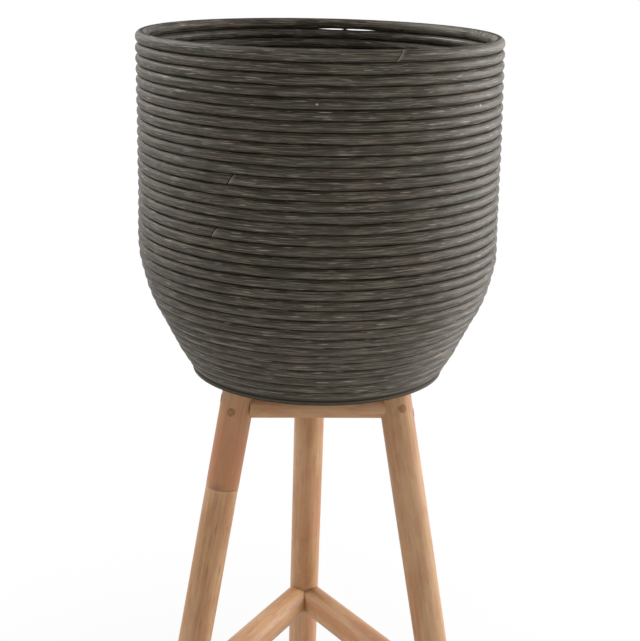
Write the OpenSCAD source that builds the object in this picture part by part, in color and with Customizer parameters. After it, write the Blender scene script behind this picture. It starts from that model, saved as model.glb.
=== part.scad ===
// Standing rattan planter: a basket of stacked cane hoops on a three-legged pole stand,
// with a lift-out liner inside. Millimetres, +Z up. The origin is on the floor, on the
// basket's own axis, and the rear leg stands on the +Y side.

/* [Basket] */
// Outer diameter of the basket at the rim
basket_d = 381; // [300:1:460]
// Diameter of the cane that the hoops are bent from
cane_d = 10.55; // [8:0.1:13]
// Diameter of the thicker cane of the top hoop
rim_cane_d = 11.9; // [9:0.1:15]
// Number of hoops, counted from the rim down
hoop_count = 34; // [24:1:40]
// Gap between the surfaces of two neighbouring hoops
hoop_gap = 0.15; // [0.05:0.01:0.3]
// Length of the straight wall, measured down it from the top hoop's centre
straight_len = 202; // [150:1:240]
// Lean of the straight wall, outwards on its way down, in degrees
wall_lean = 0.4; // [0:0.1:2]
// Radius of the arc of cane centres that draws the wall in below its straight stretch
curve_r = 185; // [150:1:500]
// Taper of the wall's foot, the straight stretch below the arc, in degrees
foot_taper = 29; // [20:0.5:36]

/* [Base board] */
// Thickness of the board under the lowest hoop
board_t = 6; // [4:0.5:12]
// Reach of the board's edge past the centre of the lowest cane
board_reach = 0.5; // [0.5:0.1:6]

/* [Stand] */
// Height of the board's underside above the floor
leg_h = 500; // [380:5:700]
// Diameter of the leg poles
leg_d = 36; // [30:1:44]
// Distance of the leg axes from the centre at the board's underside
leg_top_reach = 93; // [80:0.5:105]
// Splay of each leg from the vertical, in degrees
splay = 11.1; // [4:0.1:14]
// Diameter of the top rails
rail_d = 28; // [22:1:34]
// Depth of the rails' axes below the board's underside
rail_drop = 31; // [30:0.5:60]
// Diameter of the lower stretchers
stretcher_d = 36; // [22:1:36]
// Height of the stretchers' axes above the floor
stretcher_z = 132; // [60:5:220]
// Gap between a rail or stretcher and the legs that it is coped to
cope_gap = 0.15; // [0.05:0.01:0.3]
// Gap between two rails or two stretchers where they meet in a mitre
mitre_gap = 0.3; // [0.1:0.05:0.6]

/* [Pegs, screws and brads] */
// Diameter of the wooden pegs that hold the rails and stretchers
peg_d = 9; // [6:0.5:9.5]
// Depth of a peg in the end of a rail or stretcher, from the leg's surface
peg_bite = 30; // [20:1:40]
// Height between the two pegs that pass each other in a leg
peg_apart = 10.4; // [10.2:0.1:12]
// Height of the side rails' pegs in the front legs above or below the middle of their rails
front_leg_lift = 2.4; // [2:0.1:5]
// Turn of the same pegs out of their rails' lines, towards the front, in degrees
front_leg_turn = 5; // [0:0.1:8]
// Height of a peg's end above the leg's surface, which it follows
peg_proud = 0.2; // [0:0.1:1]
// Shank diameter of the screws that hold the board on the legs
screw_d = 4.5; // [3:0.1:6]
// Length of the screws
screw_l = 22; // [16:1:23]
// Head diameter of the screws
screw_head_d = 9; // [7:0.1:12]
// Depth of a screw's countersunk head
screw_head_t = 2.6; // [2:0.1:3.5]
// Shank diameter of the steel brads
brad_d = 1.4; // [1:0.1:2]
// Length of the brads that nail one hoop to the next
brad_l = 18; // [14:0.5:19]
// Length of the brads that nail the board to the lowest hoop
board_brad_l = 14; // [10:0.5:15]
// Distance of the board's brads inside the middle of the lowest cane
board_brad_in = 1.5; // [1:0.1:2.5]
// Head diameter of the brads
brad_head_d = 2.4; // [2.1:0.1:3]
// Thickness of a brad's head
brad_head_t = 0.6; // [0.4:0.1:1]
// Depth of a brad's head below the surface that it is driven into
brad_sink = 0.4; // [0.2:0.1:1]
// Number of brads around each hoop
brads_round = 6; // [4:1:12]
// Turn of the brads round the basket, so that one stands in the gap behind the rim
brad_turn = -12; // [-25:1:25]
// Gap between a peg, screw or brad and its hole, all round
hole_fit = 0.05; // [0.02:0.01:0.1]

/* [Liner] */
// Depth of the liner's lip below the top of the rim
liner_drop = 60; // [50:1:80]
// Wall thickness of the liner
liner_wall = 2; // [1.5:0.1:4]
// Thickness of the liner's floor
liner_floor = 3; // [2:0.1:6]
// Width of the lip that stands out round the liner's mouth
lip_w = 3; // [1:0.5:5]
// Height of the lip
lip_h = 5; // [3:0.5:10]
// Gap between the lip and the inside of the rim
lip_gap = 5; // [3:0.5:12]
// Gap between the foot of the liner and the lowest hoop
foot_gap = 5; // [3:0.5:12]
// Radius of the round edge at the liner's foot
foot_round = 8; // [4:0.5:14]
// Gap between the liner's underside and the board
liner_seat = 0.2; // [0.1:0.05:0.3]

/* [Hidden] */
round_fn = 96;
cane_fn = 32;
hole_fn = 24;
edge_fn = 48;
cane_colour = "#5d564d";
pole_colour = "#b98f68";
peg_colour = "#7d573a";
board_colour = "#38352f";
liner_colour = "#242628";
steel_colour = "#8e8e8a";

leg_r = leg_d / 2;
pitch = cane_d + hoop_gap;
rim_step = (rim_cane_d + cane_d) / 2 + hoop_gap;
overrun = 40;
far = basket_d + leg_h;
// How far a hole's cut runs past the surface that it opens
cut_past = 1;
// Turn of a brad's seam out of the plane through the basket's axis
brad_seam = 45;

// Legs are numbered from the rear one, against the clock as seen from above. Side i of
// the stand runs from leg i to the next leg.
leg_names = ["leg_rear", "leg_left", "leg_right"];
side_names = ["left", "front", "right"];
// Direction of a side from its first leg and from its last, against the leg's own azimuth
side_out = 150;
side_back = 210;
// The point on a rail's axis that its peg always passes through: how far it lies past the
// leg's surface, and its distance from the leg's axis
pivot_past_leg = 6;
peg_pivot = leg_r + pivot_past_leg;

// Heights of a side's first and last peg above the middle of its pole. At the rear leg they
// share the height between two pegs evenly, and so do those of the stretchers
first_lift = peg_apart / 2;
last_lift = -peg_apart / 2;
// At the front legs the front rail's pegs make room for those of the side rails
rail_lifts = [
    [first_lift, -front_leg_lift],
    [peg_apart - front_leg_lift, front_leg_lift - peg_apart],
    [front_leg_lift, last_lift]
];
rail_turns = [[0, front_leg_turn], [0, 0], [-front_leg_turn, 0]];
level_lifts = [first_lift, last_lift];

function leg_azimuth(i) = 90 + 120 * i;
function leg_reach(z) = leg_top_reach + (leg_h - z) * tan(splay);

// Distance of a hoop's centre down the wall from the top hoop's centre
function hoop_s(k) = k == 1 ? 0 : rim_step + (k - 2) * pitch;
function cane_r(k) = (k == 1 ? rim_cane_d : cane_d) / 2;
// Distance down the wall to the end of the arc, and how much of a distance lies past it
foot_start = straight_len + curve_r * (wall_lean + foot_taper) * PI / 180;
function in_foot(s) = max(0, s - foot_start);
// Direction of the wall on its way down, in degrees outwards from the vertical
function wall_angle(s) = max(-foot_taper, wall_lean - max(0, s - straight_len) / curve_r * 180 / PI);
// Radius and height of the cane centre line: a straight stretch, an arc and the tapered foot
function wall_r(s) =
    (basket_d - cane_d) / 2 + min(s, straight_len) * sin(wall_lean)
    + curve_r * (cos(wall_angle(s)) - cos(wall_lean)) - in_foot(s) * sin(foot_taper);
function wall_z(s) =
    -min(s, straight_len) * cos(wall_lean)
    + curve_r * (sin(wall_angle(s)) - sin(wall_lean)) - in_foot(s) * cos(foot_taper);

board_top = leg_h + board_t;
last_z = board_top + hoop_gap + cane_r(hoop_count);
function hoop_r(k) = wall_r(hoop_s(k)) - cane_r(k) + cane_d / 2;
function hoop_z(k) = last_z + wall_z(hoop_s(k)) - wall_z(hoop_s(hoop_count));

rim_top = hoop_z(1) + rim_cane_d / 2;
board_r = hoop_r(hoop_count) + board_reach;
rail_z = leg_h - rail_drop;

liner_z = board_top + liner_seat;
liner_h = rim_top - liner_drop - liner_z;
lip_r = basket_d / 2 - rim_cane_d - lip_gap;
liner_top_r = lip_r - lip_w;
liner_foot_r = hoop_r(hoop_count) - cane_d / 2 - foot_gap;

// Every second hoop has its brads halfway between those of its neighbours
function brad_azimuth(k, i) = brad_turn + (i + (k % 2) / 2) * 360 / brads_round;

function hoop_name(k) = str("hoop_", k < 10 ? "0" : "", k);

// A brad drawn downwards from the top of its head; grow widens it into its hole
module brad(length, grow = 0) {
    open = grow > 0 ? brad_sink + cut_past : 0;
    rotate([0, 0, brad_seam]) {
        translate([0, 0, -brad_head_t - grow])
            cylinder(d = brad_head_d + 2 * grow, h = brad_head_t + grow + open, $fn = hole_fn);
        translate([0, 0, -length - grow])
            cylinder(d = brad_d + 2 * grow, h = length, $fn = hole_fn);
    }
}

// The ring of brads that are driven through hoop k into the hoop below it
module brad_ring(k, grow = 0) {
    dr = hoop_r(k + 1) - hoop_r(k);
    dz = hoop_z(k + 1) - hoop_z(k);
    step = norm([dr, dz]);
    lift = (cane_r(k) - brad_sink) / step;
    for (i = [0:brads_round - 1])
        rotate([0, 0, brad_azimuth(k, i)])
            translate([hoop_r(k) - dr * lift, 0, hoop_z(k) - dz * lift])
                rotate([0, atan2(-dr, -dz), 0])
                    brad(brad_l, grow);
}

// The ring of brads that are driven up through the board into the lowest hoop
module board_brad_ring(grow = 0) {
    for (i = [0:brads_round - 1])
        rotate([0, 0, brad_azimuth(hoop_count, i)])
            translate([hoop_r(hoop_count) - board_brad_in, 0, leg_h + brad_sink])
                rotate([180, 0, 0])
                    brad(board_brad_l, grow);
}

// One closed ring of cane. Its own seam lies midway between two brads
module hoop(k) {
    seam = brad_azimuth(k, 0) + 90 / brads_round;
    color(cane_colour)
    difference() {
        translate([0, 0, hoop_z(k)])
            rotate([0, 0, seam])
                rotate_extrude($fn = round_fn)
                    translate([hoop_r(k), 0])
                        circle(r = cane_r(k), $fn = cane_fn);
        if (k > 1) brad_ring(k - 1, hole_fit);
        if (k < hoop_count) brad_ring(k, hole_fit);
        if (k == hoop_count) board_brad_ring(hole_fit);
    }
}

module hoop_brads() {
    color(steel_colour)
    for (k = [1:hoop_count - 1]) brad_ring(k);
}

module board_brads() {
    color(steel_colour) board_brad_ring();
}

// A countersunk screw drawn downwards from the top of its head
module screw(grow = 0) {
    translate([0, 0, -screw_head_t])
        cylinder(d1 = screw_d + 2 * grow, d2 = screw_head_d + 2 * grow, h = screw_head_t, $fn = hole_fn);
    translate([0, 0, -screw_l - grow])
        cylinder(d = screw_d + 2 * grow, h = screw_l, $fn = hole_fn);
}

module screws(grow = 0) {
    for (i = [0:2])
        rotate([0, 0, leg_azimuth(i)])
            translate([leg_top_reach, 0, board_top])
                screw(grow);
}

module board_screws() {
    color(steel_colour) screws();
}

module base_board() {
    color(board_colour)
    difference() {
        translate([0, 0, leg_h])
            cylinder(r = board_r, h = board_t, $fn = round_fn);
        screws(hole_fit);
        board_brad_ring(hole_fit);
    }
}

module at_leg(i, z) {
    rotate([0, 0, leg_azimuth(i)])
        translate([leg_reach(z), 0, z])
            children();
}

// The straight rod that leg i is cut from, longer than the leg at both ends
module leg_rod(i, r) {
    at_leg(i, 0)
        rotate([0, -splay, 0])
            translate([0, 0, -overrun])
                cylinder(r = r, h = leg_h / cos(splay) + 2 * overrun, $fn = round_fn);
}

// All that lies outside a leg on the side that a pole's peg is driven in from
module beyond_leg(i, z, side) {
    difference() {
        at_leg(i, z)
            rotate([0, 0, side])
                translate([-far, -far / 2, -far / 2])
                    cube(far);
        leg_rod(i, leg_r + peg_proud);
    }
}

// The line of a horizontal peg through a leg into the pole that leaves it in the direction side
module peg_line(i, z, side, turn, grow = 0) {
    back = peg_pivot + leg_d;
    ahead = leg_r + peg_bite - peg_pivot;
    at_leg(i, z)
        rotate([0, 0, side])
            translate([peg_pivot, 0, 0])
                rotate([0, 90, turn])
                    translate([0, 0, -back])
                        cylinder(d = peg_d + 2 * grow, h = back + ahead + grow, $fn = hole_fn);
}

module peg(i, z, side, turn) {
    difference() {
        peg_line(i, z, side, turn);
        beyond_leg(i, z, side);
    }
}

// Both pegs of a pole, with their heights above its middle and their turns, first and last
module side_pegs(i, z, lifts, turns) {
    peg(i, z + lifts[0], side_out, turns[0]);
    peg((i + 1) % 3, z + lifts[1], side_back, turns[1]);
}

module side_peg_holes(i, z, lifts, turns) {
    peg_line(i, z + lifts[0], side_out, turns[0], hole_fit);
    peg_line((i + 1) % 3, z + lifts[1], side_back, turns[1], hole_fit);
}

module rail_peg_holes(i) {
    side_peg_holes(i, rail_z, rail_lifts[i], rail_turns[i]);
}

module stretcher_peg_holes(i) {
    side_peg_holes(i, stretcher_z, level_lifts, [0, 0]);
}

module leg(i) {
    color(pole_colour)
    difference() {
        intersection() {
            leg_rod(i, leg_r);
            translate([-far, -far, 0]) cube([2 * far, 2 * far, leg_h]);
        }
        for (side = [i, (i + 2) % 3]) {
            rail_peg_holes(side);
            stretcher_peg_holes(side);
        }
        screws(hole_fit);
    }
}

// The third of the plan between leg i and the next, drawn back by half the mitre's gap
module side_sector(i) {
    a = leg_azimuth(i);
    back = mitre_gap / 2 / sin(60);
    rotate([0, 0, a + 60])
        translate([back, 0, 0])
            linear_extrude(height = leg_h)
                polygon([
                    [0, 0],
                    [far * cos(-60), far * sin(-60)],
                    [far, 0],
                    [far * cos(60), far * sin(60)]
                ]);
}

// A level pole from leg i to the next, coped to both legs and mitred to its neighbours. Its
// children are the holes in it
module side_pole(i, z, d) {
    difference() {
        intersection() {
            at_leg(i, z)
                rotate([0, 90, side_out])
                    cylinder(d = d, h = leg_reach(z) * sqrt(3), $fn = round_fn);
            side_sector(i);
        }
        leg_rod(i, leg_r + cope_gap);
        leg_rod((i + 1) % 3, leg_r + cope_gap);
        children();
    }
}

module rail(i) {
    color(pole_colour) side_pole(i, rail_z, rail_d) rail_peg_holes(i);
}

module stretcher(i) {
    color(pole_colour) side_pole(i, stretcher_z, stretcher_d) stretcher_peg_holes(i);
}

module rail_pegs() {
    color(peg_colour)
    for (i = [0:2]) side_pegs(i, rail_z, rail_lifts[i], rail_turns[i]);
}

module stretcher_pegs() {
    color(peg_colour)
    for (i = [0:2]) side_pegs(i, stretcher_z, level_lifts, [0, 0]);
}

// The liner: a tapered bucket with a round foot and a lip round its mouth
module liner() {
    inner_foot_r = liner_foot_r - liner_wall;
    color(liner_colour)
    translate([0, 0, liner_z])
    rotate_extrude($fn = round_fn)
    difference() {
        union() {
            polygon([
                [0, 0],
                [liner_foot_r - foot_round, 0],
                [liner_foot_r, foot_round],
                [liner_top_r, liner_h],
                [0, liner_h]
            ]);
            translate([liner_foot_r - foot_round, foot_round]) circle(r = foot_round, $fn = edge_fn);
            translate([0, liner_h - lip_h]) square([lip_r, lip_h]);
        }
        polygon([
            [-cut_past, liner_floor],
            [inner_foot_r - foot_round, liner_floor],
            [inner_foot_r, liner_floor + foot_round],
            [liner_top_r - liner_wall, liner_h + cut_past],
            [-cut_past, liner_h + cut_past]
        ]);
    }
}

for (k = [1:hoop_count]) {
    hoop(k);
}
hoop_brads();
base_board();
board_brads();
board_screws();
for (i = [0:2]) {
    leg(i);
    rail(i);
    stretcher(i);
}
rail_pegs();
stretcher_pegs();
liner();
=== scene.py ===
"""Looks of the standing rattan planter: grey-washed cane hoops with their splices, peeled poles
that are coped and mitred at their joints, and a moulded liner, on a white studio floor."""

import math

import bpy
import numpy as np
from mathutils import Matrix, Vector

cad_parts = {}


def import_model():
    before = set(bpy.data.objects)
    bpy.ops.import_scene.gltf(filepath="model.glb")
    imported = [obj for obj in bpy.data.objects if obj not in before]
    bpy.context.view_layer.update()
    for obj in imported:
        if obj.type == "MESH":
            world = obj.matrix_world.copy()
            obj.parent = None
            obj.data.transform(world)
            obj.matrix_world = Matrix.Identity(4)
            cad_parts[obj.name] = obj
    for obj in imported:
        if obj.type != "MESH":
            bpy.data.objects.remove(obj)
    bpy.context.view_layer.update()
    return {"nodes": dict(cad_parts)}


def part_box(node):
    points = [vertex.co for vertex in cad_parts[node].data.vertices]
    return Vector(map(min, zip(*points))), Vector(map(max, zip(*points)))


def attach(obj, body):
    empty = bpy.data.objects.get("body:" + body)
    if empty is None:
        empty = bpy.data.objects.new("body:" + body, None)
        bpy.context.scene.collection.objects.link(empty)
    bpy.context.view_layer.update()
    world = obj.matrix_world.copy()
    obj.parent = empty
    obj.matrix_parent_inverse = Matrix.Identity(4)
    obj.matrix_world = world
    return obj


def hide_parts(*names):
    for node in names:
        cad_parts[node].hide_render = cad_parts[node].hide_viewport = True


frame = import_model()
nodes = frame["nodes"]
MM = 0.001
UP = np.array([0, 0, 1])


# Meshes

def link(name, data):
    """Puts a mesh, a camera or a lamp into the scene as an object of that name."""
    made = bpy.data.objects.new(name, data)
    bpy.context.scene.collection.objects.link(made)
    return made


def signed_volume(points, faces):
    """Six times the volume inside the faces, positive where they face outwards."""
    total = 0.0
    for i in range(1, len(faces[0]) - 1):
        a, b, c = (points[faces[:, j]] for j in (0, i, i + 1))
        total += float(np.einsum("ij,ij->", a, np.cross(b, c)))
    return total


def stacked(*parts):
    """A grid of triples, from parts that may be columns, rows or whole grids."""
    return np.stack(np.broadcast_arrays(*parts), axis=2)


def tube(name, rings, ends, grain, end_grain, mark, sharp_angle):
    """A closed tube through rings of points, shut by a fan at both end points.

    grain holds each point's place along and across the fibres, and mark holds three numbers
    that the materials read. Both are arrays of the same shape as the rings."""
    count, sides = rings.shape[:2]
    points = np.concatenate([rings.reshape(-1, 3), ends])
    around = np.arange(sides)
    after = (around + 1) % sides
    quads = np.concatenate([
        np.stack([i * sides + around, i * sides + after,
                  (i + 1) * sides + after, (i + 1) * sides + around], axis=1)
        for i in range(count - 1)
    ])
    last = (count - 1) * sides
    first_fan = np.stack([np.full(sides, count * sides), after, around], axis=1)
    last_fan = np.stack([np.full(sides, count * sides + 1), last + around, last + after], axis=1)
    fans = np.concatenate([first_fan, last_fan])
    if signed_volume(points, quads) + signed_volume(points, fans) < 0:
        quads, fans = quads[:, ::-1], fans[:, ::-1]
    mesh = bpy.data.meshes.new(name)
    mesh.from_pydata(points.tolist(), [], quads.tolist() + fans.tolist())
    end_mark = np.stack([mark[0].mean(axis=0), mark[-1].mean(axis=0)])
    for label, on_rings, on_ends in (("grain", grain, end_grain), ("mark", mark, end_mark)):
        values = np.concatenate([on_rings.reshape(-1, 3), on_ends])
        attribute = mesh.attributes.new(label, "FLOAT_VECTOR", "POINT")
        attribute.data.foreach_set("vector", values.astype(np.float32).ravel())
    mesh.shade_smooth()
    mesh.set_sharp_from_angle(angle=sharp_angle)
    mesh.update()
    return link(name, mesh)


def capped(name, rings, grain, mark, sharp_angle, cut_mark=(0, 0, 0)):
    """A tube whose two cut ends are closed by smaller rings and a middle point."""
    shares = (0.93, 0.5)
    cut = np.broadcast_to(np.array(cut_mark, dtype=float), (len(shares), *mark.shape[1:]))

    def cap(edge, outwards):
        """The smaller rings of an end, in their order along the tube, and its middle."""
        middle = edge.mean(axis=0)
        return [middle + (edge - middle) * share for share in shares][::outwards], middle

    first, a = cap(rings[0], -1)
    first_grain, a_grain = cap(grain[0], -1)
    last, b = cap(rings[-1], 1)
    last_grain, b_grain = cap(grain[-1], 1)
    return tube(
        name,
        np.concatenate([first, rings, last]),
        np.stack([a, b]),
        np.concatenate([first_grain, grain, last_grain]),
        np.stack([a_grain, b_grain]),
        np.concatenate([cut, mark, cut]),
        sharp_angle,
    )


def waves(rng, angle, orders, fall):
    """A smooth random wave round a circle, within about -1 to 1. Its higher orders are weaker."""
    total = np.zeros_like(angle)
    scale = 0.0
    for order in orders:
        share = order ** -fall
        high, turn = rng.uniform(0.6, 1.0), rng.uniform(0, math.tau)
        total = total + share * high * np.cos(order * angle + turn)
        scale += share
    return total / scale


def phase(rng):
    """Where a random wave starts, in radians."""
    return rng.uniform(0, 6)


def bell(distance, width):
    """A bell of height 1 in its middle, which has fallen to 1/e at that width."""
    return np.exp(-(distance / width) ** 2)


def smooth(share):
    """A share from 0 to 1 with a soft start and end."""
    share = np.clip(share, 0, 1)
    return share * share * (3 - 2 * share)


def turned(angle):
    """An angle brought into -pi to pi."""
    return (angle + math.pi) % math.tau - math.pi


# Canes of the basket

HOOPS = 34
RIM, UNDER_RIM = 1, 2
CANE_SIDES = 18
CANE_RINGS = 200
CANE_SHARP = math.radians(35)
# Added to a hoop's number to seed its own draws, its splice and the groove under it
CANE_SEED, SPLICE_SEED, GROOVE_SEED = 100, 300, 500
# Metres along the grain from one hoop's cane to the next, so that no two show the same piece
CANE_GRAIN_STEP = 1.3

# Extra rings of points: how far they lie from a node and from the cane's ends in millimetres,
# and from the pinch in degrees. Of rings closer together than RING_APART, one is left out
RINGS_AT_NODE = (-8, -4, -2, -0.9, -0.3, 0.3, 0.9, 2, 4, 8)
RINGS_AT_END = (0.25, 0.7, 1.5, 3, 6, 10, 15)
RINGS_AT_PINCH = np.linspace(-2.4, 2.4, 9)
RING_APART = 0.15 * MM

# Splices in view, as hoop number to azimuth in degrees, and those of the hoops seen from inside.
# The others lie at the back, between two azimuths
SEEN_SPLICES = {1: 290.3, 7: 337.3, 10: 193, 12: 240.6, 17: 234.9}
INSIDE_SPLICES = {2: 12, 3: 171, 4: 8}
HIDDEN_SPLICES = (20, 160)
# How far along the cane a splice's cut slants from its middle to its top, the share of that by
# which it slants outwards, where the slant fades out, and the open gap. The rim has its own
SPLICE_RISE = 3.5 * MM
SPLICE_TURN, RIM_SPLICE_TURN = 0.25, -0.35
SPLICE_FADE = 9 * SPLICE_RISE
SPLICE_GAP, RIM_SPLICE_GAP = 1.15 * MM, 0.6 * MM
# The hoop draws in a little at its splice
SPLICE_FLAT, SPLICE_FLAT_LENGTH = 0.5 * MM, 14 * MM
# The cane's end is worn pale: how much, and over what length
WORN_EDGE = ((0.5, 4 * MM), (0.25, 0.8 * MM))

# How far a groove waves up and down, and how far in the rim's top and the lowest hoop's foot lie,
# so that they stay inside the CAD box
GROOVE_WAVE = 0.2 * MM
END_WAVE_INSET = 0.6 * GROOVE_WAVE
# How far a hoop waves out and in, and how far in it lies for the same reason
OUT_WAVE = 0.28 * MM
CANE_INSET = 1.4 * OUT_WAVE
# How much thicker a cane is than its half gap to the next, so that no light comes through
CANE_TOUCH = 0.11 * MM
# A peeled cane isn't quite round
LOBE_ORDERS = (2, 3, 5)
LOBE_DEPTH = 0.05 * MM
LOBE_INSET = 1.5

# Nodes of a cane: metres from one to the next, how many are laid out, by how much the first one
# comes sooner at most, and how far they stay from the splice
NODE_APART = (0.22, 0.42)
NODE_COUNT = 6
NODE_SOONER = 0.2
NODE_CLEAR = 0.03
# A node swells, with a dip beside it as a share of the swelling, and has a fine cut round it. It
# ends where its bell has fallen to NODE_FAINT
NODE_SWELL, NODE_SWELL_LENGTH = 0.22 * MM, 5 * MM
NODE_DIP = 0.7
NODE_FAINT = 0.02
NODE_CUT, NODE_CUT_LENGTH = 0.1 * MM, 0.6 * MM

# The rim cane stands off the next one behind, which leaves a slit that light comes through
SLIT_AZIMUTH = math.radians(77.5)
SLIT_HALF = math.radians(11.5)
SLIT_SLOPE = 1.8
SLIT_RIM = 0.6 * MM
SLIT_NEXT = 0.75 * MM
# A brad and a knot close the slit near its middle
PINCH_AZIMUTH = math.radians(78.3)
PINCH_HALF = math.radians(1.1)
# The rim has kept a rough, cracked skin at one place; round it, on its lit right side, it is
# painted paler, partly worn and partly painted light
ROUGH_AZIMUTH = math.radians(14)
ROUGH_HALF, ROUGH_REACH = math.radians(8), 1.6
WEAR_AND_PAINTED_LIGHT_HALF, WEAR_AND_PAINTED_LIGHT_REACH = math.radians(42), 1.5

# The stack leans a little to the left on its way up, as hand-nailed ones do: heights above the
# floor, and how far it and the board have moved towards LEAN_AZIMUTH, in millimetres
LEAN_Z = (505, 564, 617, 650, 700, 760, 855)
LEAN = (-2.3, -1.3, -1.0, 0.15, 0.0, 0.3, 1.6)
BOARD_LEAN = -2.0
LEAN_AZIMUTH = math.radians(177)
# The lean moves a CAD node beyond this radius, after a fade, and not within it
STILL_R, STILL_FADE = 110 * MM, 10 * MM
# Where the wall bulges or draws in: height above the floor, half height and how far, in
# millimetres
UNEVEN = ((700, 24, -0.4), (630, 12, 0.8), (564, 12, -1.1), (529, 10, 0.9))
# Pale and dark spots: hoop, azimuth and place round the cane in degrees, half length and
# half width in millimetres. Most are worn spots and nail holes; the last pale one is a long pale
# line along the top inner edge of the second hoop
PALE_SPOTS = ((5, 266.4, 4, 1.3, 0.9), (6, 268.8, 44, 7.5, 0.5), (6, 322.5, 27, 1.5, 0.9),
              (2, 35.5, 150, 42, 0.5))
DARK_SPOTS = ((6, 312.5, -36, 1.3, 1.1), (6, 293.9, -19, 2.2, 0.9), (7, 306.0, -4, 1.0, 1.9),
              (7, 326.7, -15, 1.3, 1.3), (1, 56, -142, 1.8, 1.6))


def hoop_frame(k):
    """Ring radius with the wall's unevenness, height and cane radius of a hoop."""
    low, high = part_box(f"hoop_{k:02d}")
    cane_r = (high.z - low.z) / 2
    z = (high.z + low.z) / 2
    uneven = sum(out * MM * float(bell(z - at * MM, half * MM)) for at, half, out in UNEVEN)
    return (high.x - low.x) / 2 - cane_r + uneven, z, cane_r


HOOP_FRAMES = {k: hoop_frame(k) for k in range(1, HOOPS + 1)}


def groove_wave(g, angle):
    """How far the groove under hoop g moves up along the wall, at each azimuth."""
    rng = np.random.default_rng(GROOVE_SEED + g)
    wave = GROOVE_WAVE * waves(rng, angle, range(1, 9), 0.4)
    if g == 0:
        return wave / 2 - END_WAVE_INSET
    if g == HOOPS:
        return wave / 2 + END_WAVE_INSET
    return wave


def slit(angle):
    """Share of the slit behind the rim, 1 in its middle and 0 outside it and at its pinch."""
    whole = smooth(SLIT_SLOPE * (1 - np.abs(turned(angle - SLIT_AZIMUTH)) / SLIT_HALF))
    return whole * (1 - bell(turned(angle - PINCH_AZIMUTH), PINCH_HALF))


def rough_share(k, angle):
    """Where the rim's cane has kept a rough skin, 1 there, and where it is painted paler, partly
    worn and partly painted light on its lit side, down to -1 there."""
    if k != RIM:
        return np.zeros_like(angle)
    away = np.abs(turned(angle - ROUGH_AZIMUTH))
    rough = smooth(ROUGH_REACH - away / ROUGH_HALF)
    return np.where(rough > 0, rough, -smooth(WEAR_AND_PAINTED_LIGHT_REACH - away / WEAR_AND_PAINTED_LIGHT_HALF))


def lean_at(z):
    """How far the stack has moved at a height, along x and y."""
    lean = np.interp(z / MM, LEAN_Z, LEAN) * MM
    return lean * math.cos(LEAN_AZIMUTH), lean * math.sin(LEAN_AZIMUTH)


def board_lean(z):
    """How far the board has moved, along x and y; its height makes no difference."""
    return BOARD_LEAN * MM * math.cos(LEAN_AZIMUTH), BOARD_LEAN * MM * math.sin(LEAN_AZIMUTH)


def moved(node, name, lean, inset=0.0):
    """A copy of a CAD node, moved with the canes that it is fastened to. Its holes over the legs,
    which are further in, stay where they are."""
    mesh = nodes[node].data.copy()
    places = np.empty(3 * len(mesh.vertices), dtype=np.float32)
    mesh.vertices.foreach_get("co", places)
    places = places.reshape(-1, 3)
    shift_x, shift_y = lean(places[:, 2])
    away = np.hypot(places[:, 0], places[:, 1])
    outer = smooth((away - STILL_R) / STILL_FADE)
    places[:, :2] *= (1 - inset / np.maximum(away, MM))[:, None]
    places[:, 0] += outer * shift_x
    places[:, 1] += outer * shift_y
    mesh.vertices.foreach_set("co", places.ravel())
    mesh.update()
    return link(name, mesh)


def splice_at(k):
    """Azimuth of a hoop's splice; most of them are turned to the back."""
    hidden = np.random.default_rng(SPLICE_SEED + k).uniform(*HIDDEN_SPLICES)
    return math.radians({**SEEN_SPLICES, **INSIDE_SPLICES}.get(k, hidden))


def cane_grain(k, azimuth, psi):
    """The place in the grain of a point on a hoop, from its azimuth and its turn round the cane,
    both in degrees."""
    radius, _, cane_r = HOOP_FRAMES[k]
    turn = (math.radians(azimuth) - splice_at(k)) % math.tau
    psi = math.radians(psi)
    return CANE_GRAIN_STEP * k + radius * turn, cane_r * math.cos(psi), cane_r * math.sin(psi)


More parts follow.
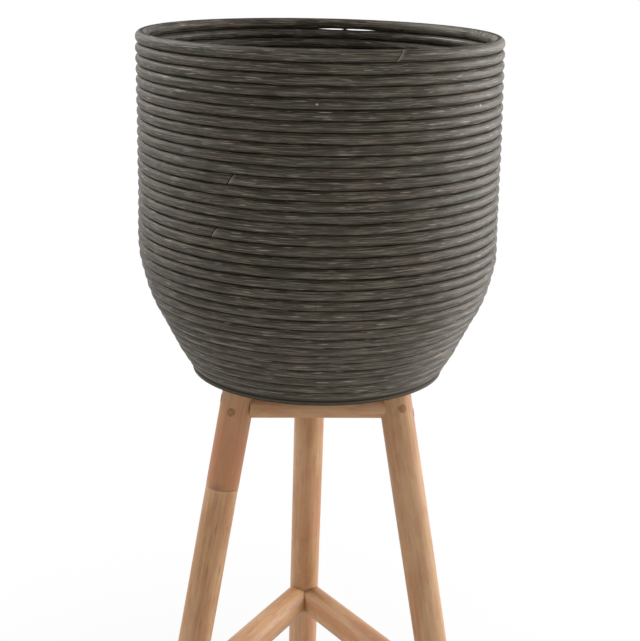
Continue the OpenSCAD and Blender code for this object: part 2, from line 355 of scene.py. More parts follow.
def cane(k):
    """One hoop as it is made: a cane bent round, its two slanting ends glued together.

    Its marks are the cut round its nodes, negative where its end is worn pale; the rough skin,
    negative where it is painted paler, partly worn and partly painted light; and how squarely a
    point faces the cane above or below."""
    radius, height, cane_r = HOOP_FRAMES[k]
    rng = np.random.default_rng(CANE_SEED + k)
    start = splice_at(k)
    length = math.tau * radius
    node_at = np.cumsum(rng.uniform(*NODE_APART, NODE_COUNT)) - rng.uniform(0, NODE_SOONER)
    node_at = node_at[(node_at > NODE_CLEAR) & (node_at < length - NODE_CLEAR)]
    near_node = np.array(RINGS_AT_NODE) * MM
    near_end = np.array(RINGS_AT_END) * MM
    at_pinch = radius * ((PINCH_AZIMUTH + np.radians(RINGS_AT_PINCH) - start) % math.tau)
    along = np.unique(np.concatenate([
        np.linspace(0, length, CANE_RINGS),
        (node_at[:, None] + near_node).ravel(),
        near_end, length - near_end,
        at_pinch if k in (RIM, UNDER_RIM) else [],
    ]))
    s = along[np.concatenate([[True], np.diff(along) > RING_APART])][:, None]
    psi = np.linspace(0, math.tau, CANE_SIDES, endpoint=False)[None, :]

    # A slanting cut: the cane's top reaches further round than its underside
    to_end = np.minimum(s, length - s)
    near = 1 - smooth(to_end / SPLICE_FADE)
    splice_turn, splice_gap = SPLICE_TURN, SPLICE_GAP
    if k == RIM:
        splice_turn, splice_gap = RIM_SPLICE_TURN, RIM_SPLICE_GAP
    slant = SPLICE_RISE * (np.sin(psi) + splice_turn * np.cos(psi))
    gap = splice_gap / 2 * (1 - 2 * s / length)
    angle = start + (s + gap + slant * near) / radius

    # The cane fills the room between the grooves above and below it
    above = HOOP_FRAMES.get(k - 1, (radius, height + cane_r, 0))
    below = HOOP_FRAMES.get(k + 1, (radius, height - cane_r, 0))
    up = np.array([above[0] - below[0], above[1] - below[1]])
    up = up / np.linalg.norm(up)
    top, foot = groove_wave(k - 1, angle), groove_wave(k, angle)
    if k == RIM:
        foot = foot + SLIT_RIM * slit(angle)
    if k == UNDER_RIM:
        top = top - SLIT_NEXT * slit(angle)
    inwards = OUT_WAVE * waves(rng, angle, range(2, 7), 0.5) - CANE_INSET
    flat = SPLICE_FLAT * bell(to_end, SPLICE_FLAT_LENGTH)
    swell = np.zeros_like(s)
    cut = np.zeros_like(s)
    for place in node_at:
        swell = swell + bell(s - place, NODE_SWELL_LENGTH)
        cut = cut + bell(s - place, NODE_CUT_LENGTH)
    lobes = sum(waves(rng, math.tau * s / length, range(1, 6), 0.3)
                * np.cos(order * psi + phase(rng)) for order in LOBE_ORDERS)
    contact = np.abs(np.cos(psi - math.atan2(up[1], up[0])))
    outer = np.cos(psi) ** 2
    local_r = cane_r + (top - foot) / 2 + CANE_TOUCH
    local_r = local_r + LOBE_DEPTH * (lobes - LOBE_INSET) * (1 - contact ** 4)
    local_r = local_r + NODE_SWELL * (swell * outer - NODE_DIP) * outer * (swell > NODE_FAINT)
    local_r = local_r - NODE_CUT * cut

    shift = (top + foot) / 2
    ring_r = radius + inwards - flat + shift * up[0] + local_r * np.cos(psi)
    ring_z = height + shift * up[1] + local_r * np.sin(psi)
    shift_x, shift_y = lean_at(height)
    rings = stacked(ring_r * np.cos(angle) + shift_x, ring_r * np.sin(angle) + shift_y, ring_z)
    grain = stacked(CANE_GRAIN_STEP * k + s + slant * near,
                    cane_r * np.cos(psi), cane_r * np.sin(psi))
    worn_edge = sum(share * bell(s, width) for share, width in WORN_EDGE)
    # The third mark, contact, masks the painted shade of the grooves in the material; the cut ends
    # get it too
    mark = stacked(np.clip(cut, 0, 1) - worn_edge, rough_share(k, angle), contact)
    return capped(f"cane_{k:02d}", rings, grain, mark, CANE_SHARP, cut_mark=(0, 0, 1))


# Poles of the stand

POLE_SIDES = 48
POLE_SHARP = math.radians(50)
LEGS = {"leg_rear": 90, "leg_left": 210, "leg_right": 330}
SIDES = {"left": ("leg_rear", "leg_left"), "front": ("leg_left", "leg_right"),
         "right": ("leg_right", "leg_rear")}
SPLAY = math.radians(11.1)
COPE_GAP = 0.15 * MM
MITRE_GAP = 1.5 * MM
# Added to a pole's number to seed its draws, and metres along the grain from one to the next
LEG_SEED, LEG_GRAIN_STEP = 40, 3
LEVEL_SEED, LEVEL_GRAIN_STEP = 70, 5
LEG_RINGS = 60
LEVEL_RINGS = 40
# Width of the rounded edge of a cut end, and where an extra ring shapes it
EDGE = 0.5 * MM
LEG_EDGE_RING = 0.3 * EDGE
LEVEL_EDGE_RING = 0.35 * EDGE
# Rings that close a level pole's end, as shares of its radius, and the painted shade of a cut end,
# for the shadowed gap at the leg
END_SHARES = (0.3, 0.65, 0.9)
END_SHADE = 1.5

# Nodes of the legs as height above the floor in metres, how much redder the pole is above them,
# and how clear they are
LEG_NODES = {
    "leg_rear": ((0.229, 0.35, 0.25), (0.03, 0.2, 0.6)),
    "leg_left": ((0.379, 1.0, 1.0), (0.075, 0.1, 0.6)),
    "leg_right": ((0.118, 0.2, 0.6),),
}
# Millimetres from a leg's node to the extra slices there
SLICES_AT_NODE = (-4, -3, -2, -1, 0, 1, 2)
# A node's line: its half length, how deep it is cut and how far it wanders round the pole
LINE_HALF = 0.9 * MM
LINE_CUT = 0.2 * MM
LINE_WANDER = 0.6 * MM
# Below its line a pole is thinner by a step, which fades out, and has a pale band painted on, a
# painted highlight on the step's edge
STEP_DEPTH, STEP_SLOPE, STEP_FADE = 0.2 * MM, 2 * MM, 25 * MM
HIGHLIGHT_BELOW = 1.8 * MM
# Above its line it is redder, over a length that fades out
WARM_SLOPE, WARM_LENGTH, WARM_FADE = 1.5 * MM, 50 * MM, 45 * MM
# A peeled pole isn't quite straight or round, and is thinned a little to stay in its CAD box.
# The waves along it are in radians per metre
POLE_WAVE = 0.05 * MM
POLE_WAVE_RATE = (12, 30)
POLE_INSET = 0.12 * MM
# The front rail's left end is cut straight over its middle, which leaves a slot this wide. The
# cut fades in round the pole from this sine of the turn
SLOT = 2.4 * MM
SLOT_FROM, SLOT_FADE = -0.45, 0.25
# Stains of the legs: height above the floor in metres, turn round the leg in degrees, half length
# and half width in millimetres
LEG_STAINS = {"leg_left": ((0.290, 57, 14, 0.9), (0.338, 62, 6, 0.8), (0.336, 106, 1.5, 1.2),
                           (0.289, 106, 8, 1.6))}

leg_low, leg_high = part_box("leg_rear")
LEG_R = (leg_high.x - leg_low.x) / 2
LEG_TOP = leg_high.z
FOOT_REACH = leg_high.y - LEG_R / math.cos(SPLAY)


def level_towards(azimuth):
    """A level vector of length 1 towards an azimuth in degrees."""
    return np.array([math.cos(math.radians(azimuth)), math.sin(math.radians(azimuth)), 0])


def leg_reach(z):
    """Distance of a leg's axis from the middle at a height."""
    return FOOT_REACH - z * math.tan(SPLAY)


def along_leg(z, psi):
    """Place along a leg of a point of its surface, from its height and its turn round the leg."""
    return (z - LEG_R * np.cos(psi) * math.sin(SPLAY)) / math.cos(SPLAY)


def leg_grain(name, z, psi):
    """The place in the grain of a point on a leg, from its height and its turn in degrees."""
    psi = math.radians(psi)
    along = along_leg(z, psi) + LEG_GRAIN_STEP * list(LEGS).index(name)
    return along, LEG_R * math.cos(psi), LEG_R * math.sin(psi)


def pole_marks(s, psi, joints, rng):
    """Radius change and marks of a peeled pole with nodes at the places in joints. The marks are
    a node's dark line, the redder stretch above it and the pale band below it, a painted
    highlight on the edge of its step."""
    change = np.zeros(np.broadcast(s, psi).shape)
    line = np.zeros_like(change)
    warm = np.zeros_like(change)
    step_highlight = np.zeros_like(change)
    wander = LINE_WANDER * (np.cos(psi + phase(rng)) + 0.5 * np.cos(3 * psi + phase(rng)))
    for place, redness, clear in joints:
        d = s - place + wander
        step = STEP_DEPTH * smooth(-d / STEP_SLOPE) * bell(d, STEP_FADE)
        change = change - clear * (LINE_CUT * bell(d, LINE_HALF) + step)
        line = line + clear * bell(d, LINE_HALF)
        step_highlight = step_highlight + clear * bell(d + HIGHLIGHT_BELOW, LINE_HALF)
        beyond = np.maximum(d - WARM_LENGTH, 0)
        warm = warm + redness * smooth(d / WARM_SLOPE + 0.5) * bell(beyond, WARM_FADE)
    for order in (1, 2, 3):
        around = np.cos(order * psi + phase(rng))
        along = np.sin(s * rng.uniform(*POLE_WAVE_RATE) + phase(rng))
        change = change + POLE_WAVE * around * along
    return change - POLE_INSET, stacked(line, warm, step_highlight)


def leg(name, azimuth, number):
    """A splayed leg, cut level at both ends and built of level slices."""
    rng = np.random.default_rng(LEG_SEED + number)
    a = math.radians(azimuth)
    at_node = np.array([node[0] for node in LEG_NODES[name]])[:, None]
    z = np.unique(np.concatenate([
        np.linspace(EDGE, LEG_TOP - EDGE, LEG_RINGS),
        [0, LEG_EDGE_RING, LEG_TOP - LEG_EDGE_RING, LEG_TOP],
        (at_node + np.array(SLICES_AT_NODE) * MM).ravel(),
    ]))[:, None]
    psi = np.linspace(0, math.tau, POLE_SIDES, endpoint=False)[None, :]
    along = along_leg(z, psi)
    joints = [(place / math.cos(SPLAY), *rest) for place, *rest in LEG_NODES[name]]
    change, mark = pole_marks(along, psi, joints, rng)
    into_edge = 1 - np.minimum(np.minimum(z, LEG_TOP - z) / EDGE, 1)
    rounded = EDGE * (1 - np.sqrt(np.clip(1 - into_edge ** 2, 0, 1)))
    r = LEG_R + change - rounded
    out = leg_reach(z) + r * np.cos(psi) / math.cos(SPLAY)
    side = r * np.sin(psi)
    rings = stacked(out * math.cos(a) - side * math.sin(a),
                    out * math.sin(a) + side * math.cos(a), z)
    grain = stacked(along + LEG_GRAIN_STEP * number, r * np.cos(psi), r * np.sin(psi))
    return capped(name + "_pole", rings, grain, mark, POLE_SHARP)


def pole_end(across, up, node_z, at_leg, middle, ahead, outwards, gap_side):
    """How far from its middle a line of a level pole reaches: to the leg's cope or to the mitre."""
    radial = level_towards(LEGS[at_leg])
    axis = np.array([-math.sin(SPLAY) * radial[0], -math.sin(SPLAY) * radial[1], math.cos(SPLAY)])
    on_axis = radial * leg_reach(node_z) + UP * node_z
    start = middle + across[..., None] * outwards + up[..., None] * UP - on_axis
    flat_start = start - (start @ axis)[..., None] * axis
    flat_ahead = ahead - (ahead @ axis) * axis
    reach_sq = flat_ahead @ flat_ahead
    half = flat_start @ flat_ahead
    rest = half ** 2 - reach_sq * ((flat_start ** 2).sum(axis=-1) - (LEG_R + COPE_GAP) ** 2)
    cope = (-half - np.sqrt(np.maximum(rest, 0))) / reach_sq
    mitre_normal = np.array([-radial[1], radial[0], 0]) * gap_side
    mitre = (MITRE_GAP / 2 - (start + on_axis) @ mitre_normal) / (ahead @ mitre_normal)
    return np.where(rest > 0, np.minimum(cope, mitre), mitre)


def level_pole(kind, side, number):
    """A level pole between two legs, coped round both and mitred against its neighbours."""
    node = f"{kind}_{side}"
    low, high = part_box(node)
    r, node_z = (high.z - low.z) / 2, (high.z + low.z) / 2
    rng = np.random.default_rng(LEVEL_SEED + number)
    from_leg, to_leg = (leg_reach(node_z) * level_towards(LEGS[name]) for name in SIDES[side])
    middle = (from_leg + to_leg) / 2 + UP * node_z
    ahead = (to_leg - from_leg) / np.linalg.norm(to_leg - from_leg)
    outwards = (from_leg + to_leg) / np.linalg.norm(from_leg + to_leg)
    psi = np.linspace(0, math.tau, POLE_SIDES, endpoint=False)

    def end_ring(share, end):
        """Where along the pole a ring of its first or last end lies, at a share of its radius."""
        sign = (-1, 1)[end]
        return sign * pole_end(share * r * np.cos(psi), share * r * np.sin(psi), node_z,
                               SIDES[side][end], middle, sign * ahead, outwards, sign)

    first, last = end_ring(1.0, 0), end_ring(1.0, 1)
    if node == "rail_front":
        straight = np.maximum(first[0] + SLOT - first, 0)
        first = first + smooth((np.sin(psi) - SLOT_FROM) / SLOT_FADE) * straight
    edge, edge_ring = 1 - EDGE / r, 1 - LEVEL_EDGE_RING / r
    rows = [(end_ring(share, 0), share) for share in END_SHARES]
    rows += [(first, edge), (first + LEVEL_EDGE_RING, edge_ring)]
    rows += [(first * (1 - t) + last * t + EDGE * (1 - 2 * t), 1)
             for t in np.linspace(0, 1, LEVEL_RINGS)]
    rows += [(last - LEVEL_EDGE_RING, edge_ring), (last, edge)]
    rows += [(end_ring(share, 1), share) for share in reversed(END_SHARES)]

    s = np.stack([along for along, _ in rows])
    full = np.array([share for _, share in rows])[:, None] * r
    change, mark = pole_marks(s, psi[None, :], [], rng)
    # The cut ends are painted dark, a painted shade for the gap between the pole's end and the leg
    cut = len(END_SHARES) + 1
    mark[:cut, :, 0] = mark[-cut:, :, 0] = END_SHADE
    local = full + change * (full > END_SHARES[-1] * r)
    across, up = local * np.cos(psi), local * np.sin(psi)
    rings = middle + s[..., None] * ahead + across[..., None] * outwards + up[..., None] * UP
    grain = stacked(s + LEVEL_GRAIN_STEP * number, across, up)
    tips = np.stack([rings[0].mean(axis=0), rings[-1].mean(axis=0)])
    tip_grain = np.stack([grain[0].mean(axis=0), grain[-1].mean(axis=0)])
    return tube(node + "_pole", rings, tips, grain, tip_grain, mark, POLE_SHARP)


# Liner

LINER_SIDES = 160
LINER_SHARP = math.radians(28)
LINER_WALL = 2 * MM
LINER_FLOOR = 3 * MM
LINER_ROUND = 8 * MM
# Room between the liner's foot and the lowest hoop
LINER_CLEAR = 5 * MM
LINER_FOOT_R = HOOP_FRAMES[HOOPS][0] - HOOP_FRAMES[HOOPS][2] - LINER_CLEAR
LIP = 5 * MM
LIP_OUT = 3 * MM
LIP_ROUND = 1.2 * MM
# Shallow rings round the wall inside: how deep and how far apart, the sine above which the wall
# steps in, and how steeply it does
RIB = 0.35 * MM
RIB_APART = 38 * MM
RIB_FROM, RIB_SLOPE = 0.55, 2.5
# How far in from its rounding the underside has its only other ring of points
UNDERSIDE_IN = 25 * MM
# Profile of the floor inside, as shares of its radius; it is raised between two of them
FLOOR_SHARES = (0.8, 0.505, 0.495, 0.425, 0.415, 0.12)
RAISED_FROM, RAISED_TO = 0.42, 0.5
# The moulding's round pip in the middle of the floor, as radius and height
PIP = ((3 * MM, 0), (2.4 * MM, 2 * RIB), (0.8 * MM, 2 * RIB))


def arc(centre_r, centre_z, radius, start, end, steps):
    """Points of an arc in the plane of a profile, with angles in degrees."""
    return [(centre_r + radius * math.cos(math.radians(t)),
             centre_z + radius * math.sin(math.radians(t))) for t in np.linspace(start, end, steps)]


def liner():
    """The moulded tub: a tapered wall with shallow rings, a rounded foot and a rounded lip."""
    low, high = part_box("liner")
    lip_r = (high.x - low.x) / 2
    top_r = lip_r - LIP_OUT
    tall = high.z - low.z
    foot_r = LINER_FOOT_R
    z0, floor_z = low.z, low.z + LINER_FLOOR

    def wall(z, inside):
        return foot_r + (top_r - foot_r) * (z - z0 - LINER_ROUND) / (tall - LINER_ROUND) - inside

    profile = [(foot_r - LINER_ROUND - UNDERSIDE_IN, z0)]
    profile += arc(foot_r - LINER_ROUND, z0 + LINER_ROUND, LINER_ROUND, -90, 0, 9)
    profile += [(wall(z0 + h, 0), z0 + h) for h in np.linspace(0.02, tall - LIP - 2 * MM, 24)]
    profile += [(wall(high.z - LIP, 0), high.z - LIP), (lip_r - LIP_ROUND, high.z - LIP)]
    profile += arc(lip_r - LIP_ROUND, high.z - LIP + LIP_ROUND, LIP_ROUND, -90, 0, 4)[1:]
    profile += arc(lip_r - LIP_ROUND, high.z - LIP_ROUND, LIP_ROUND, 0, 90, 5)
    profile += arc(top_r - LINER_WALL + LIP_ROUND, high.z - LIP_ROUND, LIP_ROUND, 90, 180, 5)
    for h in np.linspace(tall - 4 * MM, LINER_FLOOR + LINER_ROUND + 1 * MM, 60):
        step = RIB * smooth(RIB_SLOPE * (np.sin(h * math.tau / RIB_APART) - RIB_FROM))
        profile.append((wall(z0 + h, LINER_WALL) - float(step), z0 + h))
    corner = foot_r - LINER_WALL - LINER_ROUND
    profile += arc(corner, floor_z + LINER_ROUND, LINER_ROUND, 0, -90, 9)[1:]
    profile += [(corner * t, floor_z + (RIB if RAISED_FROM < t < RAISED_TO else 0))
                for t in FLOOR_SHARES]
    profile += [(r, floor_z + h) for r, h in PIP]
    profile = np.array(profile)
    turn = np.linspace(0, math.tau, LINER_SIDES, endpoint=False)[None, :]
    r, z = profile[:, :1], profile[:, 1:]
    rings = stacked(r * np.cos(turn), r * np.sin(turn), z)
    ends = np.array([[0, 0, profile[0, 1]], [0, 0, profile[-1, 1]]])
    return tube("liner_tub", rings, ends, rings, ends, np.zeros_like(rings), LINER_SHARP)


# Materials

BOARD_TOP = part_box("base_board")[1].z
# Period of the painted shadow bands down the board's edge
BOARD_SHADOW_BANDS = 4.2 * MM


def colour(red, green, blue):
    """A colour given as 0 to 255 in sRGB, as the linear values that shaders take."""
    def linear(v):
        v = v / 255
        return v / 12.92 if v <= 0.04045 else ((v + 0.055) / 1.055) ** 2.4
    return (linear(red), linear(green), linear(blue), 1.0)


class Tree:
    """Builds the nodes of a material or a world: each call adds one and returns its output."""

    def __init__(self, owner):
        owner.use_nodes = True
        self.owner = owner
        self.tree = owner.node_tree
        self.tree.nodes.clear()

    def give(self, socket, value):
        """Links a socket to another node's output, or sets it to a constant."""
        if isinstance(value, bpy.types.NodeSocket):
            self.tree.links.new(value, socket)
        else:
            socket.default_value = value

    def node(self, kind, settings=None, inputs=None):
        """A new node itself, with its settings and inputs."""
        made = self.tree.nodes.new(kind)
        for key, value in (settings or {}).items():
            setattr(made, key, value)
        for key, value in (inputs or {}).items():
            self.give(made.inputs[key], value)
        return made

    def math(self, operation, *values):
        made = self.node("ShaderNodeMath", {"operation": operation}, dict(enumerate(values)))
        return made.outputs[0]

    def vector_math(self, operation, *values):
        made = self.node("ShaderNodeVectorMath", {"operation": operation}, dict(enumerate(values)))
        return made.outputs["Value"]

    def stretched(self, vector, scale, move):
        """A vector scaled on each axis and moved."""
        inputs = {"Vector": vector, "Scale": scale, "Location": move}
        return self.node("ShaderNodeMapping", {}, inputs).outputs[0]

    def far(self, grain, place, half_long, half_wide):
        """How far a point of the grain is from a place, in half lengths along and half widths
        across."""
        scale = (1 / (half_long * MM), 1 / (half_wide * MM), 1 / (half_wide * MM))
        move = [-at * k for at, k in zip(place, scale)]
        return self.vector_math("LENGTH", self.stretched(grain, scale, move))

    def noise(self, vector, scale, detail, roughness, distortion=0.0, move=(0, 0, 0)):
        """Noise with that many cells to the metre on each axis: few along the fibres and many
        across them make streaks. Moved noise has a pattern of its own."""
        inputs = {"Vector": self.stretched(vector, scale, move), "Scale": 1.0,
                  "Detail": detail, "Roughness": roughness, "Distortion": distortion}
        return self.node("ShaderNodeTexNoise", {"noise_dimensions": "3D"}, inputs).outputs["Fac"]

    def steps(self, value, low, high, out_low=0.0, out_high=1.0):
        """A smooth step from out_low to out_high as a value goes from low to high. Where high is
        the smaller one, the step is the other way."""
        inputs = {"Value": value, "From Min": low, "From Max": high,
                  "To Min": out_low, "To Max": out_high}
        made = self.node("ShaderNodeMapRange", {"interpolation_type": "SMOOTHSTEP"}, inputs)
        return made.outputs[0]

    def mix(self, share, first, second):
        """The first colour, with that share of the second."""
        made = self.node("ShaderNodeMix", {"data_type": "RGBA"})
        for socket, value in ((0, share), (6, first), (7, second)):
            self.give(made.inputs[socket], value)
        return made.outputs[2]

    def wash(self, base, value, low, high, most, tone):
        """The base, washed with a tone as a value goes from low to high, by most at the most."""
        return self.mix(self.steps(value, low, high, 0.0, most), base, tone)

    def attribute(self, name):
        return self.node("ShaderNodeAttribute", {"attribute_name": name}).outputs["Vector"]

    def place(self):
        """The place of a point in its object, which is its place in the frame at rest."""
        return self.node("ShaderNodeTexCoord").outputs["Object"]

    def parts(self, vector):
        return self.node("ShaderNodeSeparateXYZ", {}, {"Vector": vector}).outputs

    def bump(self, height, depth):
        inputs = {"Height": height, "Distance": depth, "Strength": 1.0}
        return self.node("ShaderNodeBump", {}, inputs).outputs[0]

    def finish(self, base, roughness, normal, **constants):
        """The material, with constants for further sockets of its shader."""
        inputs = {"Base Color": base, "Roughness": roughness, "Normal": normal}
        inputs.update({key.replace("_", " "): value for key, value in constants.items()})
        surface = self.node("ShaderNodeBsdfPrincipled", {}, inputs).outputs[0]
        self.node("ShaderNodeOutputMaterial", {}, {"Surface": surface})
        return self.owner


def cane_material():
    """Grey-washed cane: dark olive and brown patches under fine pale fibres, and near-black painted
    shade in the grooves and on the cut ends.
    """
    m = Tree(bpy.data.materials.new("grey_washed_cane"))
    grain = m.attribute("grain")
    node_mark, skin_mark, contact = m.parts(m.attribute("mark"))
    broad = m.noise(grain, (20, 60, 60), 2.0, 0.55)
    hue = m.noise(grain, (22, 90, 90), 2.0, 0.5, move=(7, 3, 1))
    streak = m.noise(grain, (16, 420, 420), 3.0, 0.6)
    fibre = m.noise(grain, (34, 1150, 1150), 2.0, 0.55)
    flecks = m.noise(grain, (44, 1000, 1000), 1.0, 0.5, move=(2, 5, 9))
    crackle = m.noise(grain, (150, 700, 700), 3.0, 0.65)
    # Patches, then streaks and fibres, each pale and dark, and pale flecks
    base = m.mix(m.steps(hue, 0.42, 0.58), colour(56, 54, 38), colour(69, 58, 49))
    patches = m.mix(m.steps(hue, 0.45, 0.55), colour(66, 58, 47), colour(68, 66, 57))
    base = m.wash(base, broad, 0.43, 0.6, 1.0, patches)
    base = m.wash(base, streak, 0.5, 0.66, 0.5, colour(97, 87, 74))
    base = m.wash(base, streak, 0.5, 0.36, 0.25, colour(40, 33, 25))
    base = m.wash(base, fibre, 0.53, 0.61, 0.75, colour(122, 112, 98))
    base = m.wash(base, fibre, 0.47, 0.39, 0.65, colour(36, 30, 22))
    base = m.wash(base, flecks, 0.66, 0.74, 0.75, colour(172, 163, 150))
    # Dark nodes, the pale ends of the canes, the rim's rough skin, and its paler skin, partly worn
    # and partly painted light
    base = m.wash(base, node_mark, 0.0, 1.0, 0.35, colour(34, 29, 23))
    base = m.wash(base, node_mark, -0.1, -0.8, 0.75, colour(140, 132, 119))
    rough_skin = m.mix(m.steps(crackle, 0.36, 0.64), colour(60, 54, 46), colour(128, 120, 108))
    wear_and_painted_light_skin = m.mix(m.steps(fibre, 0.4, 0.6), colour(90, 85, 76), colour(128, 122, 111))
    base = m.wash(base, skin_mark, 0.0, -1.0, 0.7, wear_and_painted_light_skin)
    base = m.wash(base, skin_mark, 0.0, 1.0, 1.0, rough_skin)
    for spots, tone in ((PALE_SPOTS, colour(196, 188, 176)), (DARK_SPOTS, colour(20, 16, 12))):
        for hoop, azimuth, psi, half_long, half_wide in spots:
            away = m.far(grain, cane_grain(hoop, azimuth, psi), half_long, half_wide)
            base = m.wash(base, away, 1.2, 0.5, 0.85, tone)
    # Painted shade: where a cane faces its neighbour, in the grooves, and on its cut ends, the
    # colour is darkened to near black
    painted_groove_shade = m.steps(contact, 0.9, 0.99)
    base = m.mix(m.math("MULTIPLY", painted_groove_shade, 0.85), base, colour(17, 14, 10))
    height = m.math("ADD", m.math("MULTIPLY", fibre, 0.6), m.math("MULTIPLY", streak, 0.8))
    cracks = m.math("MULTIPLY", crackle, m.math("MAXIMUM", skin_mark, 0.0))
    height = m.math("ADD", height, m.math("MULTIPLY", cracks, 1.5))
    normal = m.bump(height, 0.4 * MM)
    dull = m.math("MULTIPLY", painted_groove_shade, 0.3)
    roughness = m.math("ADD", m.steps(fibre, 0.3, 0.7, 0.48, 0.62), dull)
    return m.finish(base, roughness, normal, Specular_IOR_Level=0.35)


def pole_material():
    """Peeled natural pole: tan with lengthwise streaks, darker lines at its nodes."""
    m = Tree(bpy.data.materials.new("natural_pole"))
    grain = m.attribute("grain")
    line, warm, step_highlight = m.parts(m.attribute("mark"))
    broad = m.noise(grain, (9, 40, 40), 2.0, 0.5)
    mottle = m.noise(grain, (38, 110, 110), 2.0, 0.55, move=(3, 8, 5))
    band = m.noise(grain, (10, 260, 260), 3.0, 0.55, 0.2)
    fibre = m.noise(grain, (22, 900, 900), 3.0, 0.6)
    pores = m.noise(grain, (60, 1500, 1500), 1.0, 0.5, move=(4, 4, 4))
    stain = m.noise(grain, (16, 130, 130), 3.0, 0.6, move=(9, 2, 6))
    base = m.mix(m.steps(broad, 0.38, 0.62), colour(172, 125, 86), colour(190, 150, 113))
    base = m.wash(base, mottle, 0.5, 0.66, 0.5, colour(186, 148, 98))
    base = m.wash(base, mottle, 0.5, 0.36, 0.45, colour(180, 126, 88))
    base = m.wash(base, band, 0.48, 0.68, 0.32, colour(204, 164, 125))
    base = m.wash(base, band, 0.48, 0.3, 0.27, colour(160, 114, 78))
    base = m.wash(base, fibre, 0.52, 0.72, 0.28, colour(214, 178, 140))
    base = m.wash(base, fibre, 0.46, 0.3, 0.28, colour(146, 102, 69))
    base = m.wash(base, stain, 0.6, 0.7, 0.3, colour(132, 91, 62))
    base = m.wash(base, pores, 0.68, 0.76, 0.4, colour(98, 66, 44))
    base = m.mix(m.math("MULTIPLY", warm, 0.65), base, colour(172, 110, 74))
    # The pale band under a node's line: a painted highlight on the edge of its step
    base = m.mix(m.math("MULTIPLY", step_highlight, 0.25), base, colour(210, 174, 130))
    # A node's dark line, and on the level poles' cut ends a painted shade
    base = m.mix(m.math("MULTIPLY", line, 0.6), base, colour(106, 66, 40))
    for name, stains in LEG_STAINS.items():
        for z, turn, half_long, half_wide in stains:
            away = m.far(grain, leg_grain(name, z, turn), half_long, half_wide)
            base = m.wash(base, away, 1.3, 0.3, 0.5, colour(110, 74, 46))
    height = m.math("ADD", m.math("MULTIPLY", fibre, 0.5), m.math("MULTIPLY", band, 0.8))
    normal = m.bump(height, 0.15 * MM)
    roughness = m.steps(fibre, 0.3, 0.7, 0.45, 0.58)
    return m.finish(base, roughness, normal, Specular_IOR_Level=0.4)


def peg_material():
    """Dark end grain of the pegs."""
    m = Tree(bpy.data.materials.new("peg_end_grain"))
    place = m.place()
    pores = m.noise(place, (1500, 1500, 1500), 2.0, 0.6)
    cloud = m.noise(place, (260, 260, 260), 2.0, 0.5)
    base = m.mix(m.steps(cloud, 0.35, 0.65), colour(142, 97, 60), colour(163, 117, 74))
    base = m.wash(base, pores, 0.5, 0.3, 0.5, colour(100, 68, 45))
    normal = m.bump(pores, 0.15 * MM)
    return m.finish(base, m.steps(pores, 0.3, 0.7, 0.6, 0.75), normal)


def board_material():
    """Dark stained plywood: grain on its faces, and on its edge light and dark bands set from its
    top, a painted shadow under the lowest hoop.
    """
    m = Tree(bpy.data.materials.new("stained_board"))
    place = m.place()
    grain = m.noise(place, (12, 320, 320), 4.0, 0.6, 0.4)
    fine = m.noise(place, (50, 1400, 1400), 2.0, 0.6)
    below_top = m.math("SUBTRACT", m.parts(place)[2], BOARD_TOP)
    # Painted shadow: the edge is lightest at the board's top, darkest about 2 mm below it, then
    # light and dark again lower down
    painted_shadow_bands = m.math("COSINE", m.math("MULTIPLY", below_top, math.tau / BOARD_SHADOW_BANDS))
    face = m.mix(m.steps(grain, 0.35, 0.65), colour(44, 42, 37), colour(70, 66, 58))
    edge = m.mix(m.steps(painted_shadow_bands, -0.9, 0.9), colour(40, 34, 25), colour(84, 78, 66))
    facing = m.node("ShaderNodeNewGeometry").outputs["Normal"]
    level = m.math("ABSOLUTE", m.parts(facing)[2])
    base = m.mix(m.steps(level, 0.3, 0.7), edge, face)
    base = m.wash(base, fine, 0.45, 0.3, 0.5, colour(30, 28, 24))
    normal = m.bump(m.math("ADD", grain, fine), 0.15 * MM)
    roughness = m.steps(grain, 0.3, 0.7, 0.6, 0.75)
    return m.finish(base, roughness, normal, Specular_IOR_Level=0.15)


def steel_material():
    """Bright wire and plated screws, with faint draw marks."""
    m = Tree(bpy.data.materials.new("plated_steel"))
    place = m.place()
    cloud = m.noise(place, (900, 900, 900), 3.0, 0.6)
    drawn = m.noise(place, (3000, 3000, 400), 2.0, 0.5)
    base = m.mix(m.steps(cloud, 0.35, 0.65), colour(150, 148, 142), colour(186, 184, 178))
    normal = m.bump(drawn, 0.03 * MM)
    return m.finish(base, m.steps(cloud, 0.3, 0.7, 0.28, 0.45), normal, Metallic=1.0)


def liner_material():
    """Matt black moulded plastic, slightly dusty."""
    m = Tree(bpy.data.materials.new("matt_black_plastic"))
    place = m.place()
    grain = m.noise(place, (2200, 2200, 2200), 1.0, 0.5)
    dust = m.noise(place, (22, 22, 14), 4.0, 0.6)
    scuffs = m.noise(place, (130, 130, 9), 3.0, 0.65, 0.3)
    base = m.mix(m.steps(dust, 0.4, 0.7), colour(34, 35, 37), colour(50, 51, 52))
    base = m.wash(base, scuffs, 0.62, 0.75, 0.5, colour(74, 74, 73))
    normal = m.bump(m.math("ADD", grain, m.math("MULTIPLY", scuffs, 0.5)), 0.05 * MM)
    roughness = m.steps(dust, 0.35, 0.7, 0.48, 0.66)
    return m.finish(base, roughness, normal, Specular_IOR_Level=0.4)


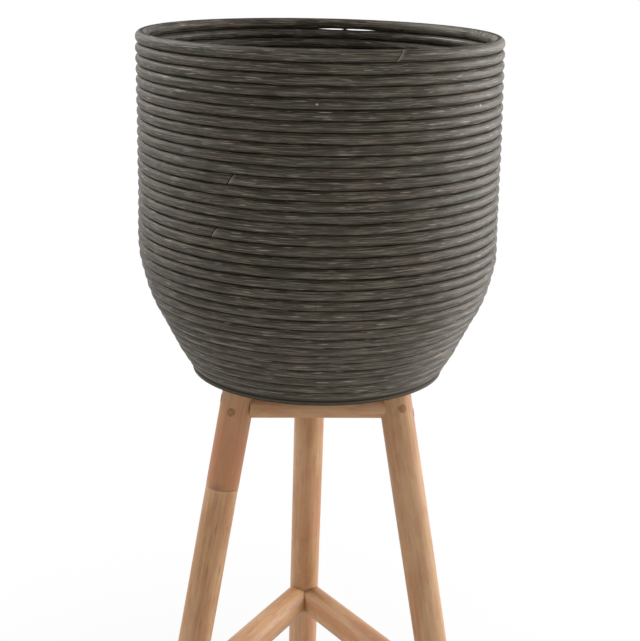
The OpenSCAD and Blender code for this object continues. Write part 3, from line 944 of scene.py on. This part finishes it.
def studio_white(name, albedo, matt_share, matt_to, white_from):
    """A white surface that glows white to the camera. Up to matt_to from the middle, matt_share
    of it is matt instead and keeps the object's shadow; from white_from on, none is."""
    m = Tree(bpy.data.materials.new(name))
    path = m.node("ShaderNodeLightPath").outputs
    mirrored = m.math("MAXIMUM", path["Is Glossy Ray"], path["Is Transmission Ray"])
    seen = m.math("MAXIMUM", path["Is Camera Ray"], mirrored)
    away = m.vector_math("LENGTH", m.place())
    glowing = m.steps(away, matt_to, white_from, 1 - matt_share, 1.0)
    matt = m.node("ShaderNodeBsdfDiffuse", {}, {"Color": (albedo, albedo, albedo, 1)})
    glow = m.node("ShaderNodeEmission", {}, {"Color": (1, 1, 1, 1), "Strength": 1.0})
    surface = m.node("ShaderNodeMixShader", {}, {
        0: m.math("MULTIPLY", seen, glowing), 1: matt.outputs[0], 2: glow.outputs[0]})
    m.node("ShaderNodeOutputMaterial", {}, {"Surface": surface.outputs[0]})
    return m.owner


# Studio

PHOTO_W, PHOTO_H = 640, 641
SENSOR = 36
FOCAL_PX = 1396.8
CAMERA_AWAY = 1.46675
CAMERA_Z = 0.9833
CAMERA_DOWN = math.radians(16.478)
CAMERA_ROLL = math.radians(1.224)
CAMERA_YAW = math.radians(0.172)
# The planter stands turned by this much in the photo, so the camera is turned back round it
CAMERA_ROUND = math.radians(-2.92)
# The point that both lamps are turned to
LIT_POINT = (0, 0, 0.6)
FLOOR_HALF = 30.0


def camera():
    """The camera of the photo."""
    data = bpy.data.cameras.new("camera")
    data.sensor_width = SENSOR
    data.lens = FOCAL_PX * SENSOR / max(PHOTO_W, PHOTO_H)
    data.clip_end = 100
    made = link("camera", data)
    tilt = Matrix.Rotation(math.pi / 2 - CAMERA_DOWN, 4, "X")
    look = Matrix.Rotation(-CAMERA_YAW, 4, "Z") @ tilt
    stand = Matrix.Translation((0, -CAMERA_AWAY, CAMERA_Z))
    place = stand @ look @ Matrix.Rotation(CAMERA_ROLL, 4, "Z")
    made.matrix_world = Matrix.Rotation(CAMERA_ROUND, 4, "Z") @ place
    bpy.context.scene.camera = made


def softbox(name, place, size, level):
    """A square lamp that lights a matt surface at LIT_POINT to that level by itself."""
    data = bpy.data.lights.new(name, "AREA")
    data.shape = "SQUARE"
    data.size = size
    away = Vector(LIT_POINT) - Vector(place)
    data.energy = level * (math.pi * away.length) ** 2
    made = link(name, data)
    made.location = place
    made.rotation_euler = away.to_track_quat("-Z", "Y").to_euler()


def world(level, overhead, dim_share, dim_azimuth):
    """A white room that is bright round the horizon, dimmer overhead and a little dimmer on one
    side."""
    w = Tree(bpy.data.worlds.new("studio"))
    direction = w.node("ShaderNodeTexCoord").outputs["Generated"]
    fade = w.steps(w.parts(direction)[2], 0.2, 0.85, level, overhead)
    dim_side = (math.cos(dim_azimuth), math.sin(dim_azimuth), 0)
    towards = w.vector_math("DOT_PRODUCT", direction, dim_side)
    dim = w.steps(towards, 0.4, 0.95, 1.0, 1 - dim_share)
    inputs = {"Color": (1, 1, 1, 1), "Strength": w.math("MULTIPLY", fade, dim)}
    light = w.node("ShaderNodeBackground", {}, inputs).outputs[0]
    w.node("ShaderNodeOutputWorld", {}, {"Surface": light})
    bpy.context.scene.world = w.owner


def floor():
    """The studio's floor, wide enough to fill the view."""
    half = FLOOR_HALF
    corners = [(-half, -half, 0), (half, -half, 0), (half, half, 0), (-half, half, 0)]
    mesh = bpy.data.meshes.new("studio_floor")
    mesh.from_pydata(corners, [], [(0, 1, 2, 3)])
    made = link("studio_floor", mesh)
    mesh.materials.append(studio_white("floor_white", albedo=0.8, matt_share=0.35,
                                       matt_to=0.2, white_from=0.75))


# The scene

def dress(piece, material, body, slot, *replaced):
    """Gives a new piece its material and body, and hides the CAD node that it stands for. Its slot
    is not used.
    """
    piece.data.materials.clear()
    piece.data.materials.append(material)
    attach(piece, body)
    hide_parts(*replaced)


def coat(node, material):
    """Gives a CAD node that stays in view its material."""
    mesh = nodes[node].data
    mesh.materials.clear()
    mesh.materials.append(material)


camera()
world(level=1.2, overhead=0.15, dim_share=0.35, dim_azimuth=math.radians(225))
softbox("key_right", (2.0, 0.45, 0.95), size=1.4, level=1.05)
softbox("fill_left", (-1.55, 0.9, 2.3), size=1.4, level=0.76)
floor()

cane_look = cane_material()
for k in range(1, HOOPS + 1):
    dress(cane(k), cane_look, "planter", "cane", f"hoop_{k:02d}")
pole_look = pole_material()
for number, (name, azimuth) in enumerate(LEGS.items()):
    dress(leg(name, azimuth, number), pole_look, "planter", "pole", name)
level_poles = [(kind, side) for kind in ("rail", "stretcher") for side in SIDES]
for number, (kind, side) in enumerate(level_poles):
    dress(level_pole(kind, side, number), pole_look, "planter", "pole", f"{kind}_{side}")
dress(liner(), liner_material(), "liner", "liner", "liner")
peg_look = peg_material()
steel_look = steel_material()
for node in ("rail_pegs", "stretcher_pegs"):
    coat(node, peg_look)
coat("board_screws", steel_look)
dress(moved("hoop_brads", "wire_brads", lean_at, CANE_INSET),
      steel_look, "planter", "steel", "hoop_brads")
dress(moved("board_brads", "foot_brads", board_lean),
      steel_look, "planter", "steel", "board_brads")
dress(moved("base_board", "foot_board", board_lean),
      board_material(), "planter", "board", "base_board")

bpy.context.scene.view_settings.view_transform = "Standard"
